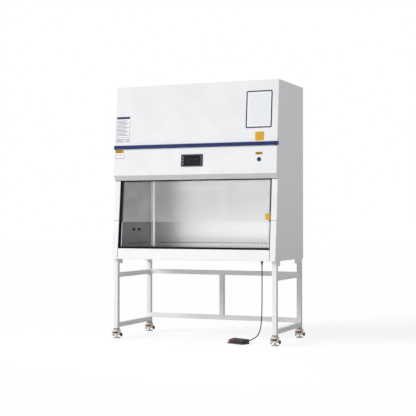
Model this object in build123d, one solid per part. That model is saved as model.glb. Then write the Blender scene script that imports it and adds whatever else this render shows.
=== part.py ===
from build123d import *
import os
from math import atan, cos, pi, radians, sin, tan

# Biosafety cabinet on a wheeled stand.  X to the right, Y to the back, Z up, floor at z = 0.
# The front faces -Y and leans back; the origin is under the middle of the cabinet.

# Driving dimensions, mm
WIDTH = 1500.0
DEPTH = 740.0
HEIGHT = 2190.0
CABINET_BASE = 690.0
CHAMBER_WIDTH = 1350.0
WORK_HEIGHT = 787.0
SHEET = 2.0
RUNNING_GAP = 0.05

SIDE = WIDTH / 2
BACK = DEPTH / 2
SKIN = SIDE - SHEET

# Leaning front: post line below the lip, panel line above it
POST_SLOPE = tan(radians(5.36))
POST_TOP = 1370.0
POST_WIDTH = 50.0
PANEL_SLOPE = tan(radians(5.0))
PANEL_FOOT = 1413.0
PANEL_FOOT_Y = -339.4
LIP_BACK_Y = -305.6
LIP_KNEE = PANEL_FOOT + 3
LIP_FOOT = POST_TOP + 1
DOOR_GAP = 0.4
STRIP_LOW = 1644.0
STRIP_HIGH = 1675.0
FLANGE = 22.0

# Piano hinge of the control panel, in the gap under the trim strip
HINGE_HEIGHT = STRIP_LOW - 3.2
HINGE_SETBACK = 2.6
KNUCKLE_RADIUS = 2.0
HINGE_PIN_RADIUS = 1.0
HINGE_BORE = HINGE_PIN_RADIUS + RUNNING_GAP
DOOR_TOP = HINGE_HEIGHT - 2.4
KNUCKLES = 15

# Work chamber
CHAMBER_SIDE = CHAMBER_WIDTH / 2
CHAMBER_BACK = 272.0
CHAMBER_TOP = 1400.0
COVE_RADIUS = 30.0
SLOT_ROW_HEIGHT = 824.0
WALL_EDGE = 10.0

# Sash and its drive
GLASS_FRONT = 12.0
GLASS_THICK = 6.0
GLASS_HALF = 710.0
SASH_FOOT = 1012.0
SASH_HEAD = 1669.0
TRACK_TOP = 1990.0
BELT_FRONT = 34.0
BELT_THICK = 2.0
BELT_X = (682.0, 692.0)
PULLEY_PITCH_RADIUS = 15.0
AXLE_SETBACK = BELT_FRONT + BELT_THICK / 2 + PULLEY_PITCH_RADIUS
DRIVE_HEIGHT = 2040.0
IDLER_HEIGHT = 1380.0
DRIVE_SHAFT_RADIUS = 6.0
IDLER_AXLE_RADIUS = 5.0
AXLE_END = 740.0

# Stand
TUBE = 40.0
TUBE_WALL = 2.0
LEG_FOOT = 88.0
LEG_PLATE = 6.0
FRONT_LEG_Y = -320.0
REAR_LEG_Y = 325.0
LEG_X = SIDE - TUBE / 2
UPPER_RAIL = 550.0
LOWER_SIDE_RAIL = 114.0
LOWER_REAR_RAIL = 151.0

# Levelling caster
CASTER_TOP = 76.5
CAP_HIGH = CASTER_TOP - 0.5
RING_RADIUS = 32.5
RING_LOW = 43.0
RING_HIGH = 58.0
RING_GAP = 0.5
WHEEL_RADIUS = 17.0
WHEEL_INNER = 33.0
WHEEL_OUTER = 42.0
WHEEL_AXLE_HEIGHT = 30.0
AXLE_RADIUS = 3.0
CASTER_TRAIL = 14.0
STEM_RADIUS = 6.0
STEM_TOP = 53.0
KINGPIN_LOW = 69.0
PAD_RADIUS = 32.0
PAD_THICK = 10.0
PAD_RISE = 15.0

# Foot switch and its cable
FOOT_CENTRE = (398.0, -292.6)
FOOT_ANGLE = -21.0
FOOT_WIDTH = 176.0
FOOT_DEPTH = 95.0
PEDAL_PIN_Y = 12.0
PEDAL_PIN_Z = 22.0
PEDAL_PIN_RADIUS = 2.5
CABLE_DIAMETER = 8.5
CABLE_ROUTE = [
    (480.0, -252.0, 24.0), (489.0, -231.0, 29.0), (504.0, -213.0, 38.0), (526.0, -202.0, 54.0),
    (545.0, -195.5, 80.0), (558.5, -191.5, 124.0), (565.5, -189.8, 184.0), (568.7, -189.0, 265.0),
    (569.8, -188.7, 362.0), (570.2, -188.6, 460.0), (570.2, -188.7, 556.0), (569.8, -189.0, 650.0),
]
GLAND_AT = (569.8, -189.0)
GLAND_THREAD_RADIUS = 8.0

parts = {}


def post_y(z):
    """Front of the posts, where the sash runs behind it, at height z."""
    return -BACK + (z - CABINET_BASE) * POST_SLOPE


def panel_y(z):
    """Front face of the control panel and the upper front panel at height z."""
    return PANEL_FOOT_Y + (z - PANEL_FOOT) * PANEL_SLOPE


def box(x0, x1, y0, y1, z0, z1):
    """Block between two corners."""
    return Pos((x0 + x1) / 2, (y0 + y1) / 2, (z0 + z1) / 2) * Box(x1 - x0, y1 - y0, z1 - z0)


def prism(outline, x0, x1):
    """Side-view outline of (y, z) points that runs from x0 to x1."""
    corners = [(x0, y, z) for y, z in outline]
    return extrude(make_face(Polyline(*corners, close=True)), amount=x1 - x0, dir=(1, 0, 0))


def leaning(line, low, high, near, far):
    """Side-view outline of a strip parallel to a leaning line, from near to far behind it."""
    return [
        (line(low) + near, low), (line(high) + near, high),
        (line(high) + far, high), (line(low) + far, low),
    ]


def pair(shape):
    """A piece on the right side and its mirror image on the left, as two solids."""
    return shape + mirror(shape, about=Plane.YZ)


def rod_x(radius, x0, x1, y, z):
    """Round bar along X."""
    return Pos((x0 + x1) / 2, y, z) * Rot(0, 90, 0) * Cylinder(radius, x1 - x0)


def panel_plane(x, z):
    """Plane on the front face above the lip: local x to the right, y up the slope, z outwards."""
    lean = atan(PANEL_SLOPE)
    return Plane(origin=(x, panel_y(z), z), x_dir=(1, 0, 0), z_dir=(0, -cos(lean), sin(lean)))


def side_panel():
    """Right side: one folded sheet with the front post and stiffening flanges."""
    skin_outline = [
        (BACK - SHEET, CABINET_BASE), (BACK - SHEET, HEIGHT - SHEET),
        (panel_y(HEIGHT - SHEET) + SHEET + DOOR_GAP, HEIGHT - SHEET),
        (panel_y(LIP_KNEE) + SHEET + DOOR_GAP, LIP_KNEE), (LIP_BACK_Y + SHEET + DOOR_GAP, LIP_FOOT),
        (post_y(POST_TOP), POST_TOP), (post_y(CABINET_BASE), CABINET_BASE),
    ]
    skin = prism(skin_outline, SKIN, SIDE)
    post_in = SIDE - POST_WIDTH
    post_low = CABINET_BASE
    post = prism(leaning(post_y, post_low, POST_TOP, 0, SHEET), post_in, SKIN)
    post += prism(leaning(post_y, post_low, POST_TOP, SHEET, 3 * SHEET), post_in, post_in + SHEET)
    flange_in = SKIN - FLANGE
    flanges = box(flange_in, SKIN, BACK - 2 * SHEET, BACK - SHEET, CABINET_BASE + SHEET, HEIGHT - SHEET)
    flanges += box(flange_in, SKIN, -200, BACK - 2 * SHEET, HEIGHT - 2 * SHEET, HEIGHT - SHEET)
    return skin + post + flanges


def rear_panel():
    """Flat back sheet with two pressed stiffening ribs and a mains inlet opening."""
    sheet = box(-SIDE, SIDE, BACK - SHEET, BACK, CABINET_BASE, HEIGHT)
    rib_deep, rib_high, rib_margin = 6.0, 40.0, 120.0
    for height in (1150.0, 1700.0):
        rib = Pos(0, BACK - SHEET - rib_deep / 2, height) * Box(WIDTH - 2 * rib_margin, rib_deep, rib_high)
        sheet += chamfer(rib.edges().filter_by(Axis.X).sort_by(Axis.Y)[:2], rib_deep - 1)
    inlet_x, inlet_z = 70.0 - SIDE, 2060.0
    inlet_wide, inlet_high = 48.0, 28.0
    sheet -= box(inlet_x, inlet_x + inlet_wide, BACK - SHEET - 1, BACK + 1, inlet_z, inlet_z + inlet_high)
    return sheet


EXHAUST_X = 280.0
EXHAUST_Y = (-10.0, 310.0)


def top_panel():
    """Roof sheet with the exhaust opening and a turned-down rim round it."""
    front = panel_y(HEIGHT) + SHEET
    roof = box(-SIDE, SIDE, front, BACK - SHEET, HEIGHT - SHEET, HEIGHT)
    roof -= box(-EXHAUST_X, EXHAUST_X, *EXHAUST_Y, HEIGHT - 2 * SHEET, HEIGHT + 1)
    return roof


def exhaust_grille():
    """Guard in the exhaust opening: a flanged plate with rows of slots."""
    y0, y1 = EXHAUST_Y
    gap = 1.0
    lap = 15.0
    plate = box(gap - EXHAUST_X, EXHAUST_X - gap, y0 + gap, y1 - gap, HEIGHT - SHEET, HEIGHT)
    plate += box(-EXHAUST_X - lap, EXHAUST_X + lap, y0 - lap, y1 + lap, HEIGHT - 2 * SHEET, HEIGHT - SHEET)
    rows = 12
    margin = 20.0
    slot_long, slot_wide, slot_x = 220.0, 12.0, 132.0
    pitch = (y1 - y0 - 2 * margin) / (rows - 1)
    for side in (-1, 1):
        for row in range(rows):
            slot = Box(slot_long, slot_wide, 6 * SHEET)
            plate -= Pos(side * slot_x, y0 + margin + row * pitch, HEIGHT - SHEET) * slot
    return plate


def floor_panel():
    """Underside sheet with the hole for the foot switch gland."""
    floor = box(-SKIN, SKIN, post_y(CABINET_BASE) + 8, BACK - SHEET, CABINET_BASE, CABINET_BASE + SHEET)
    floor -= Pos(*GLAND_AT, CABINET_BASE) * Cylinder(GLAND_THREAD_RADIUS + 0.2, 5 * SHEET)
    return floor


def hinge_knuckles(first, leaf):
    """Every second knuckle along the hinge line, each with its leaf folded away from the axis."""
    y = panel_y(HINGE_HEIGHT) + HINGE_SETBACK
    pitch = 2 * (SIDE - FLANGE) / KNUCKLES
    row = None
    for index in range(first, KNUCKLES, 2):
        x0 = FLANGE - SIDE + index * pitch + RUNNING_GAP
        x1 = x0 + pitch - 2 * RUNNING_GAP
        knuckle = rod_x(KNUCKLE_RADIUS, x0, x1, y, HINGE_HEIGHT)
        knuckle += box(x0, x1, y - KNUCKLE_RADIUS, y + KNUCKLE_RADIUS, *leaf)
        row = knuckle if row is None else row + knuckle
    return row - rod_x(HINGE_BORE, -SIDE, SIDE, y, HINGE_HEIGHT)


def upper_front_panel():
    """Face sheet with a flange folded back all round, the hinge's upper knuckles and its pin."""
    low = STRIP_LOW
    face = prism(leaning(panel_y, low, HEIGHT, 0, SHEET), -SIDE, SIDE)
    rim = prism(leaning(panel_y, low, HEIGHT - SHEET, SHEET, FLANGE), -SKIN, SKIN)
    rim -= prism(leaning(panel_y, low + SHEET, HEIGHT - 2 * SHEET, SHEET, FLANGE), SHEET - SKIN, SKIN - SHEET)
    pin_y = panel_y(HINGE_HEIGHT) + HINGE_SETBACK
    knuckles = hinge_knuckles(0, (HINGE_HEIGHT, low))
    knuckles += rod_x(HINGE_PIN_RADIUS, FLANGE - SIDE + 1, SIDE - FLANGE - 1, pin_y, HINGE_HEIGHT)
    stops = rod_x(HINGE_BORE + 0.4, FLANGE - SIDE + 1, FLANGE - SIDE + 3, pin_y, HINGE_HEIGHT)
    return face + rim + knuckles + pair(stops)


def trim_strip():
    """Moulded strip across the front with a groove, its ends folded round the corners."""
    wrap = 28.0
    overhang = 4.0
    proud = 10.0
    bar = prism(leaning(panel_y, STRIP_LOW, STRIP_HIGH, -proud, 0), -SIDE - overhang, SIDE + overhang)
    bar = chamfer(bar.edges().filter_by(Axis.X).sort_by(Axis.Y)[:2], 2)
    ends = prism(leaning(panel_y, STRIP_LOW, STRIP_HIGH, 0, wrap), SIDE, SIDE + overhang)
    middle = (STRIP_LOW + STRIP_HIGH) / 2
    groove = prism(leaning(panel_y, middle - 1.5, middle + 1.5, -proud - 1, 1.5 - proud), -SIDE, SIDE)
    return bar + pair(ends) - groove


def document_frame():
    """Raised frame for papers on the right of the upper front panel."""
    width, height, border = 228.0, 311.0, 9.0
    centre_x, centre_z = 583.0, 1945.5
    sketch = RectangleRounded(width, height, 12)
    sketch -= RectangleRounded(width - 2 * border, height - 2 * border, 5)
    return panel_plane(centre_x, centre_z) * extrude(sketch, SHEET)


DISPLAY_AT = (-9.0, 1532.0)
DISPLAY_SIZE = (200.0, 104.0)
SCREEN_SIZE = (145.0, 82.0)
SCREEN_SHIFT = 3.5
KEY_AT = (595.0, 1529.0)


def control_panel():
    """Hinged front: face, bevelled lip, top and side flanges, hinge knuckles, display and lock openings."""
    top = DOOR_TOP
    depth = 20.0
    outer = [
        (panel_y(top), top), (panel_y(PANEL_FOOT), PANEL_FOOT), (LIP_BACK_Y, LIP_FOOT),
        (LIP_BACK_Y + SHEET, LIP_FOOT), (panel_y(LIP_KNEE) + SHEET, LIP_KNEE), (panel_y(top) + SHEET, top),
    ]
    shell = prism(outer, -SIDE, SIDE)
    flange_x = SKIN - SHEET
    shell += box(-flange_x, flange_x, panel_y(top), panel_y(top) + depth, top - SHEET, top)
    side_flange = leaning(panel_y, PANEL_FOOT + 4, top - SHEET, SHEET, depth)
    shell += pair(prism(side_flange, flange_x - SHEET, flange_x))
    shell += hinge_knuckles(1, (top, HINGE_HEIGHT))
    display_hole = extrude(Rectangle(DISPLAY_SIZE[0] - 28, DISPLAY_SIZE[1] - 12), 20, both=True)
    shell -= panel_plane(*DISPLAY_AT) * display_hole
    shell -= panel_plane(*KEY_AT) * Cylinder(9.0, 20)
    return shell


def display_bezel():
    """Raised surround with a recess for the screen and the module box behind the panel."""
    face = chamfer(extrude(RectangleRounded(*DISPLAY_SIZE, 4), 5).edges().group_by(Axis.Z)[-1], 1.5)
    face -= Pos(SCREEN_SHIFT, 0, 5) * Box(SCREEN_SIZE[0] + 2, SCREEN_SIZE[1] + 2, 6)
    face += Pos(0, 0, -8) * Box(DISPLAY_SIZE[0] - 30, DISPLAY_SIZE[1] - 14, 16)
    return panel_plane(*DISPLAY_AT) * face


def display_screen():
    """Glass of the display, seated in the recess."""
    return panel_plane(*DISPLAY_AT) * Pos(SCREEN_SHIFT, 0, 3) * Box(*SCREEN_SIZE, 2)


def key_lock():
    """Turning lock: stepped barrel with a ring and a key slot."""
    barrel = Pos(0, 0, -6) * Cylinder(8.95, 18)
    barrel += Pos(0, 0, 2.75) * chamfer(Cylinder(17.5, 4.5).edges().group_by(Axis.Z)[-1], 1.5)
    barrel += Pos(0, 0, 6.5) * Cylinder(11, 3)
    barrel -= Pos(0, 0, 8) * Box(3, 15, 5)
    return panel_plane(*KEY_AT) * barrel


def bottom_front_panel():
    """Front apron under the opening: face with rounded upper corners and folded edges."""
    low, high = CABINET_BASE + SHEET, WORK_HEIGHT - 5
    half = SIDE - POST_WIDTH - 1.5
    face = prism(leaning(post_y, low, high, 0, SHEET), -half, half)
    face = fillet(face.edges().filter_by(Axis.Y, tolerance=1).group_by(Axis.Z)[-1], 12)
    folds = box(-half + 14, half - 14, post_y(high) + 1, post_y(high) + FLANGE, high - SHEET, high)
    folds += box(-half, half, post_y(low) + 1, post_y(low) + FLANGE, low, low + SHEET)
    return face + folds


VALVE_Y = (-99.0, 3.0)
VALVE_Z = 945.0
VALVE_BORE = 8.0
SLOT = (26.0, 5.0)
SLOT_PITCH = 32.0


def inner_side_walls():
    """Polished chamber walls: each has a front flange, a slot row and, on the left, valve holes."""
    low = CABINET_BASE + SHEET
    front = 28.0
    cove_start = CHAMBER_BACK - COVE_RADIUS
    outline = [
        (post_y(low) + front, low), (post_y(CHAMBER_TOP) + front, CHAMBER_TOP),
        (cove_start, CHAMBER_TOP), (cove_start, low),
    ]
    wall = prism(outline, CHAMBER_SIDE, CHAMBER_SIDE + SHEET)
    edge = leaning(post_y, WORK_HEIGHT, CHAMBER_TOP, front - SHEET, front)
    wall += prism(edge, CHAMBER_SIDE, CHAMBER_SIDE + WALL_EDGE)
    slots = 12
    first_slot_y = -200.0
    for index in range(slots):
        slot_y = first_slot_y + index * SLOT_PITCH
        wall -= Pos(CHAMBER_SIDE + SHEET / 2, slot_y, SLOT_ROW_HEIGHT) * Box(3 * SHEET, *SLOT)
    walls = pair(wall)
    for valve_y in VALVE_Y:
        walls -= rod_x(VALVE_BORE, -CHAMBER_SIDE - 5, -CHAMBER_SIDE + 5, valve_y, VALVE_Z)
    return walls


def inner_rear_wall():
    """Back of the chamber, folded forward at both ends in large coves, with a slot row."""
    outer = CHAMBER_SIDE + SHEET
    deep = CHAMBER_BACK + SHEET
    start = CHAMBER_BACK - COVE_RADIUS
    low = CABINET_BASE + SHEET
    reach = 120.0
    high = CHAMBER_TOP - low
    block = extrude(Pos(0, deep - reach / 2) * Rectangle(2 * outer, reach), amount=high)
    block = fillet(block.edges().filter_by(Axis.Z).group_by(Axis.Y)[-1], COVE_RADIUS + SHEET)
    hollow = extrude(Pos(0, CHAMBER_BACK - reach / 2) * Rectangle(2 * CHAMBER_SIDE, reach), amount=high)
    hollow = fillet(hollow.edges().filter_by(Axis.Z).group_by(Axis.Y)[-1], COVE_RADIUS)
    wall = Pos(0, 0, low) * (block - hollow)
    wall -= box(-SIDE, SIDE, -BACK, start, low - 1, CHAMBER_TOP + 1)
    slots = 38
    for index in range(slots):
        slot_x = (index - (slots - 1) / 2) * SLOT_PITCH
        wall -= Pos(slot_x, CHAMBER_BACK + SHEET / 2, SLOT_ROW_HEIGHT) * Box(SLOT[0], 3 * SHEET, SLOT[1])
    return wall


PAN_LOW = 700.0
TRAY_DEEP = 12.0
TRAY_SETBACK = 38.0


def base_pan():
    """Drip pan under the work tray, with a ledge all round that carries the tray."""
    front = post_y(WORK_HEIGHT) + TRAY_SETBACK - SHEET
    back = CHAMBER_BACK - COVE_RADIUS
    side = CHAMBER_SIDE
    high = WORK_HEIGHT - TRAY_DEEP
    ledge_wide = 20.0
    pan = box(-side, side, front, back, PAN_LOW, high)
    pan -= box(SHEET - side, side - SHEET, front + SHEET, back - SHEET, PAN_LOW + SHEET, high + 1)
    ledge = box(-side, side, front, back, high - SHEET, high)
    inner = side - ledge_wide
    ledge -= box(-inner, inner, front + ledge_wide, back - ledge_wide, high - 2 * SHEET, high + 1)
    return pan + ledge


def work_tray():
    """Lift-out work surface: dished sheet with turned-down edges and a front intake grille."""
    front = post_y(WORK_HEIGHT) + TRAY_SETBACK
    back = CHAMBER_BACK - COVE_RADIUS - SHEET
    side = CHAMBER_SIDE - 4
    low = WORK_HEIGHT - TRAY_DEEP
    tray = box(-side, side, front, back, low, WORK_HEIGHT)
    tray -= box(SHEET - side, side - SHEET, front + SHEET, back - SHEET, low - 1, WORK_HEIGHT - SHEET)
    slots = 36
    slot_wide, slot_long, slot_pitch = 10.0, 56.0, 36.0
    for index in range(slots):
        slot_x = (index - (slots - 1) / 2) * slot_pitch
        tray -= Pos(slot_x, front + 14 + slot_long / 2, WORK_HEIGHT) * Box(slot_wide, slot_long, 4 * SHEET)
    return tray


CEILING_Y = (-172.0, 242.0)
SUPPLY_FILTER_Y = (-172.0, 240.0)
EXHAUST_FILTER_Y = (-25.0, 325.0)


def diffuser_panel():
    """Perforated ceiling of the chamber under the supply filter."""
    side = CHAMBER_SIDE - 1
    y0, y1 = CEILING_Y
    panel = box(-side, side, y0, y1, CHAMBER_TOP - SHEET, CHAMBER_TOP)
    columns, rows = 20, 6
    hole, column_pitch, row_pitch = 40.0, 64.0, 66.0
    for column in range(columns):
        for row in range(rows):
            hole_x = (column - (columns - 1) / 2) * column_pitch
            hole_y = y0 + 35 + row * row_pitch
            panel -= Pos(hole_x, hole_y, CHAMBER_TOP) * Box(hole, hole, 5 * SHEET)
    return panel


def pleated_filter(half_x, y0, y1, low, high, pleats):
    """Rigid frame round a pleated pack whose folds run front to back."""
    frame_wall = 15.0
    fold_deep = 25.0
    block = box(-half_x, half_x, y0, y1, low, high)
    pitch = 2 * (half_x - frame_wall) / pleats
    for index in range(pleats):
        middle = -half_x + frame_wall + (index + 0.5) * pitch
        x0, x1 = middle - pitch / 4, middle + pitch / 4
        block -= box(x0, x1, y0 + frame_wall, y1 - frame_wall, low - 1, low + fold_deep)
    return block


DECK_HEIGHT = 1500.0


def plenum_deck():
    """Deck between the supply filter and the blower, with the blower's outlet opening."""
    front, back = -222.0, BACK - 2 * SHEET
    lip = 4.0
    upstand = 40.0
    top = DECK_HEIGHT + SHEET
    deck = box(-SKIN, SKIN, front, back, DECK_HEIGHT, top)
    deck += pair(box(SKIN - SHEET, SKIN, front, back - FLANGE, top, DECK_HEIGHT + upstand))
    hole_x = BLOWER_HALF - lip
    deck -= box(-hole_x, hole_x, OUTLET_Y[0] + lip, OUTLET_Y[1] - lip, DECK_HEIGHT - 1, top + 1)
    return deck


BLOWER_AXIS = (70.0, 1760.0)
BLOWER_HALF = 150.0
OUTLET_Y = (75.0, 235.0)
IMPELLER_RADIUS = 130.0
FAN_SHAFT_RADIUS = 8.0


def blower_housing():
    """Scroll housing: round drum run into a straight outlet duct, inlets and bearing arms."""
    axis_y, axis_z = BLOWER_AXIS
    drum_y = axis_y + 15
    drum_radius, inlet_radius = 150.0, 96.0
    hub_radius, hub_deep, arm_half = 18.0, 14.0, 12.0

    def scroll(radius, inset, half, low):
        drum = rod_x(radius, -half, half, drum_y, axis_z)
        return drum + box(-half, half, OUTLET_Y[0] + inset, OUTLET_Y[1] - inset, low, axis_z)

    shell = scroll(drum_radius, 0, BLOWER_HALF, DECK_HEIGHT + SHEET)
    shell -= scroll(drum_radius - SHEET, SHEET, BLOWER_HALF - SHEET, DECK_HEIGHT)
    shell -= rod_x(inlet_radius, -BLOWER_HALF - 5, BLOWER_HALF + 5, axis_y, axis_z)
    plate = BLOWER_HALF - SHEET
    arm_y0, arm_y1 = axis_y - inlet_radius - 2, axis_y + inlet_radius + 2
    arm = box(plate, BLOWER_HALF, arm_y0, arm_y1, axis_z - arm_half, axis_z + arm_half)
    arm += rod_x(hub_radius, BLOWER_HALF - hub_deep, BLOWER_HALF, axis_y, axis_z)
    arm -= rod_x(FAN_SHAFT_RADIUS + RUNNING_GAP, BLOWER_HALF - 20, BLOWER_HALF + 5, axis_y, axis_z)
    return shell + pair(arm)


def impeller():
    """Double-inlet wheel: forward-curved blades between end rings on a hub motor."""
    axis_y, axis_z = BLOWER_AXIS
    half = 120.0
    blades = 24
    inner, outer = 104.0, IMPELLER_RADIUS - 1
    middle = (inner + IMPELLER_RADIUS) / 2
    hub_radius, hub_long = 55.0, 110.0
    front_arc = ThreePointArc((inner, -6), (middle, -2), (outer, 10))
    back_arc = ThreePointArc((outer, 12.5), (middle, 0.2), (inner, -3.5))
    edge_lines = Line((outer, 10), (outer, 12.5)) + Line((inner, -3.5), (inner, -6))
    blade = extrude(make_face(front_arc + back_arc + edge_lines), amount=half, both=True)
    wheel = Cylinder(IMPELLER_RADIUS, 3)
    for index in range(blades):
        wheel += Rot(0, 0, index * 360 / blades) * blade
    ring = Cylinder(IMPELLER_RADIUS + 2, 5) - Cylinder(inner, 6)
    wheel += Pos(0, 0, half) * ring
    wheel += Pos(0, 0, -half) * ring
    wheel += Cylinder(hub_radius, hub_long)
    wheel += Cylinder(FAN_SHAFT_RADIUS, 2 * BLOWER_HALF)
    return Pos(0, axis_y, axis_z) * Rot(0, 90, 0) * wheel


def lamps():
    """Working light and ultraviolet lamp with end holders under a reflector plate."""
    hold = CHAMBER_SIDE + SHEET
    tube_radius, tube_half, tube_z = 12.5, 600.0, 1387.0
    holder_half, holder_low = 15.0, 1374.0
    group = box(-hold, hold, -258, -174, CHAMBER_TOP, CHAMBER_TOP + SHEET)
    for tube_y in (-238.0, -196.0):
        group += rod_x(tube_radius, -tube_half, tube_half, tube_y, tube_z)
        y0, y1 = tube_y - holder_half, tube_y + holder_half
        group += pair(box(tube_half - 4, tube_half + 22, y0, y1, holder_low, CHAMBER_TOP))
    return group


def sash_glass():
    """Sliding pane."""
    pane = leaning(post_y, SASH_FOOT, SASH_HEAD, GLASS_FRONT, GLASS_FRONT + GLASS_THICK)
    return prism(pane, -GLASS_HALF, GLASS_HALF)


CLAMP_LOW = SASH_HEAD - 30


def sash_clamps():
    """Black strips down the sides of the pane, seals behind it and belt clamps at its head."""
    strip = prism(leaning(post_y, SASH_FOOT, SASH_HEAD, GLASS_FRONT - 1.5, GLASS_FRONT), 690, 702)
    back = GLASS_FRONT + GLASS_THICK
    seal = leaning(post_y, SASH_FOOT, CLAMP_LOW - 1, back, back + 1.5)
    seals = prism(seal, -697, -672) + prism(seal, 684, 697)
    clamp_in, clamp_out = 676.0, 696.0
    clamp_back = BELT_FRONT + 6
    belt_gap = 0.7
    block = prism(leaning(post_y, CLAMP_LOW, SASH_HEAD, back, BELT_FRONT - belt_gap), clamp_in, clamp_out)
    web = leaning(post_y, CLAMP_LOW, SASH_HEAD, BELT_FRONT - belt_gap, clamp_back)
    jaw = leaning(post_y, CLAMP_LOW, SASH_HEAD, BELT_FRONT + BELT_THICK + 0.6, clamp_back)
    clamp = block + prism(web, clamp_in, BELT_X[0] - 1) + prism(jaw, clamp_in, BELT_X[1] + 1)
    return pair(strip) + seals + pair(clamp)


def sash_tracks():
    """Channel behind each post that guides an edge of the pane, its lower half widened to the wall."""
    low = WORK_HEIGHT + 5
    post_in = SIDE - POST_WIDTH
    web_in, web_out = 714.0, 717.0
    near, far = 6.0, 24.0
    lip = 4.0
    web = prism(leaning(post_y, low, TRACK_TOP, near, far), web_in, web_out)
    front = prism(leaning(post_y, low, TRACK_TOP, near, near + lip), post_in, web_in)
    rear = prism(leaning(post_y, low, TRACK_TOP, far - lip, far), post_in - 2, web_in)
    wide_in = CHAMBER_SIDE + WALL_EDGE + 1
    wide = prism(leaning(post_y, low, POST_TOP, far - lip, far), wide_in, web_in)
    return pair(web + front + rear + wide)


def axle_y(z):
    """Axis of a belt pulley at height z."""
    return post_y(z) + AXLE_SETBACK


def drive_belts():
    """Closed belt on each side, round the drive pulley and the idler."""
    lean = Vector(0, axle_y(DRIVE_HEIGHT) - axle_y(IDLER_HEIGHT), DRIVE_HEIGHT - IDLER_HEIGHT)
    middle = (DRIVE_HEIGHT + IDLER_HEIGHT) / 2
    plane = Plane(origin=(BELT_X[0], axle_y(middle), middle), x_dir=lean, z_dir=(1, 0, 0))
    outer = PULLEY_PITCH_RADIUS + BELT_THICK / 2
    inner = PULLEY_PITCH_RADIUS - BELT_THICK / 2
    loop = SlotCenterToCenter(lean.length, 2 * outer) - SlotCenterToCenter(lean.length, 2 * inner)
    return pair(plane * extrude(loop, BELT_X[1] - BELT_X[0]))


def pulley(y, z):
    """Flanged belt pulley on the right side."""
    rim_radius, rim_thick = 18.0, 2.0
    belt_seat = PULLEY_PITCH_RADIUS - BELT_THICK / 2 - 0.4
    wheel = rod_x(belt_seat, *BELT_X, y, z)
    wheel += rod_x(rim_radius, BELT_X[0] - rim_thick, BELT_X[0], y, z)
    wheel += rod_x(rim_radius, BELT_X[1], BELT_X[1] + rim_thick, y, z)
    return wheel


def drive_shaft():
    """Cross shaft with a pulley at each end, which lifts both sides of the sash together."""
    y = axle_y(DRIVE_HEIGHT)
    return rod_x(DRIVE_SHAFT_RADIUS, -AXLE_END, AXLE_END, y, DRIVE_HEIGHT) + pair(pulley(y, DRIVE_HEIGHT))


def idler_pulleys():
    """Lower pulleys, each on a stub axle."""
    y = axle_y(IDLER_HEIGHT)
    return pair(pulley(y, IDLER_HEIGHT) + rod_x(IDLER_AXLE_RADIUS, BELT_X[1], AXLE_END, y, IDLER_HEIGHT))


def shaft_bearings():
    """Bearing blocks on the side panels for the drive shaft and the idlers."""
    blocks = []
    half = 15.0
    inner_x = 702.0
    for height, radius in ((DRIVE_HEIGHT, DRIVE_SHAFT_RADIUS), (IDLER_HEIGHT, IDLER_AXLE_RADIUS)):
        y = axle_y(height)
        block = box(inner_x, SKIN, y - half, y + half, height - half, height + half)
        block = chamfer(block.edges().filter_by(Axis.X), 5)
        blocks.append(pair(block - rod_x(radius + RUNNING_GAP, inner_x - 2, SKIN, y, height)))
    return blocks[0] + blocks[1]


def sash_motor():
    """Worm gear motor round the drive shaft, hung from the roof on a bracket."""
    y = axle_y(DRIVE_HEIGHT)
    x0, x1 = -640.0, -580.0
    half, motor_radius, motor_long = 28.0, 25.0, 110.0
    gearbox = fillet(box(x0, x1, y - half, y + half, DRIVE_HEIGHT - half, DRIVE_HEIGHT + half).edges(), 4)
    motor = Pos((x0 + x1) / 2, y + 80, DRIVE_HEIGHT) * Rot(90, 0, 0) * Cylinder(motor_radius, motor_long)
    bracket = box(x0, x1, y - 3, y + 3, DRIVE_HEIGHT + half - 1, HEIGHT - SHEET)
    bracket += box(x0, x1, y - 3, y + 30, HEIGHT - 3 * SHEET, HEIGHT - SHEET)
    bore = rod_x(DRIVE_SHAFT_RADIUS + RUNNING_GAP, x0 - 20, x1 + 20, y, DRIVE_HEIGHT)
    return gearbox + motor + bracket - bore


def valve_knob(at_y):
    """Lobed knob on a stem through the left chamber wall."""
    face_x = -CHAMBER_SIDE
    knob_radius, knob_thick = 11.0, 7.0
    collar_high = 2.5
    lobes = 6
    knob = Cylinder(knob_radius, knob_thick)
    for index in range(lobes):
        knob -= Rot(0, 0, index * 360 / lobes) * Pos(knob_radius + 2, 0, 0) * Cylinder(4, knob_thick)
    knob = Pos(face_x + collar_high + knob_thick / 2, at_y, VALVE_Z) * Rot(0, 90, 0) * knob
    collar = rod_x(9, face_x + 0.3, face_x + collar_high, at_y, VALVE_Z)
    stem = rod_x(VALVE_BORE - RUNNING_GAP, face_x - 22, face_x + 0.3, at_y, VALVE_Z)
    return knob + collar + stem


def stand_legs():
    """Four square tubes with a closing plate at the head and a threaded plate at the foot."""
    legs = None
    for x in (-LEG_X, LEG_X):
        for y in (FRONT_LEG_Y, REAR_LEG_Y):
            low, high = LEG_FOOT + LEG_PLATE, CABINET_BASE - LEG_PLATE
            sketch = RectangleRounded(TUBE, TUBE, 3) - Rectangle(TUBE - 2 * TUBE_WALL, TUBE - 2 * TUBE_WALL)
            leg = Pos(x, y, low) * extrude(sketch, high - low)
            leg += Pos(x, y, high + LEG_PLATE / 2) * Box(TUBE, TUBE, LEG_PLATE)
            foot = Pos(x, y, LEG_FOOT + LEG_PLATE / 2) * Box(TUBE, TUBE, LEG_PLATE)
            leg += foot - Pos(x, y, LEG_FOOT) * Cylinder(STEM_RADIUS + RUNNING_GAP, 2 * LEG_PLATE + 2)
            legs = leg if legs is None else legs + leg
    return legs


def rail(length):
    """Square tube along local Z, centred."""
    sketch = RectangleRounded(TUBE, TUBE, 3) - Rectangle(TUBE - 2 * TUBE_WALL, TUBE - 2 * TUBE_WALL)
    return Pos(0, 0, -length / 2) * extrude(sketch, length)


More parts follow.
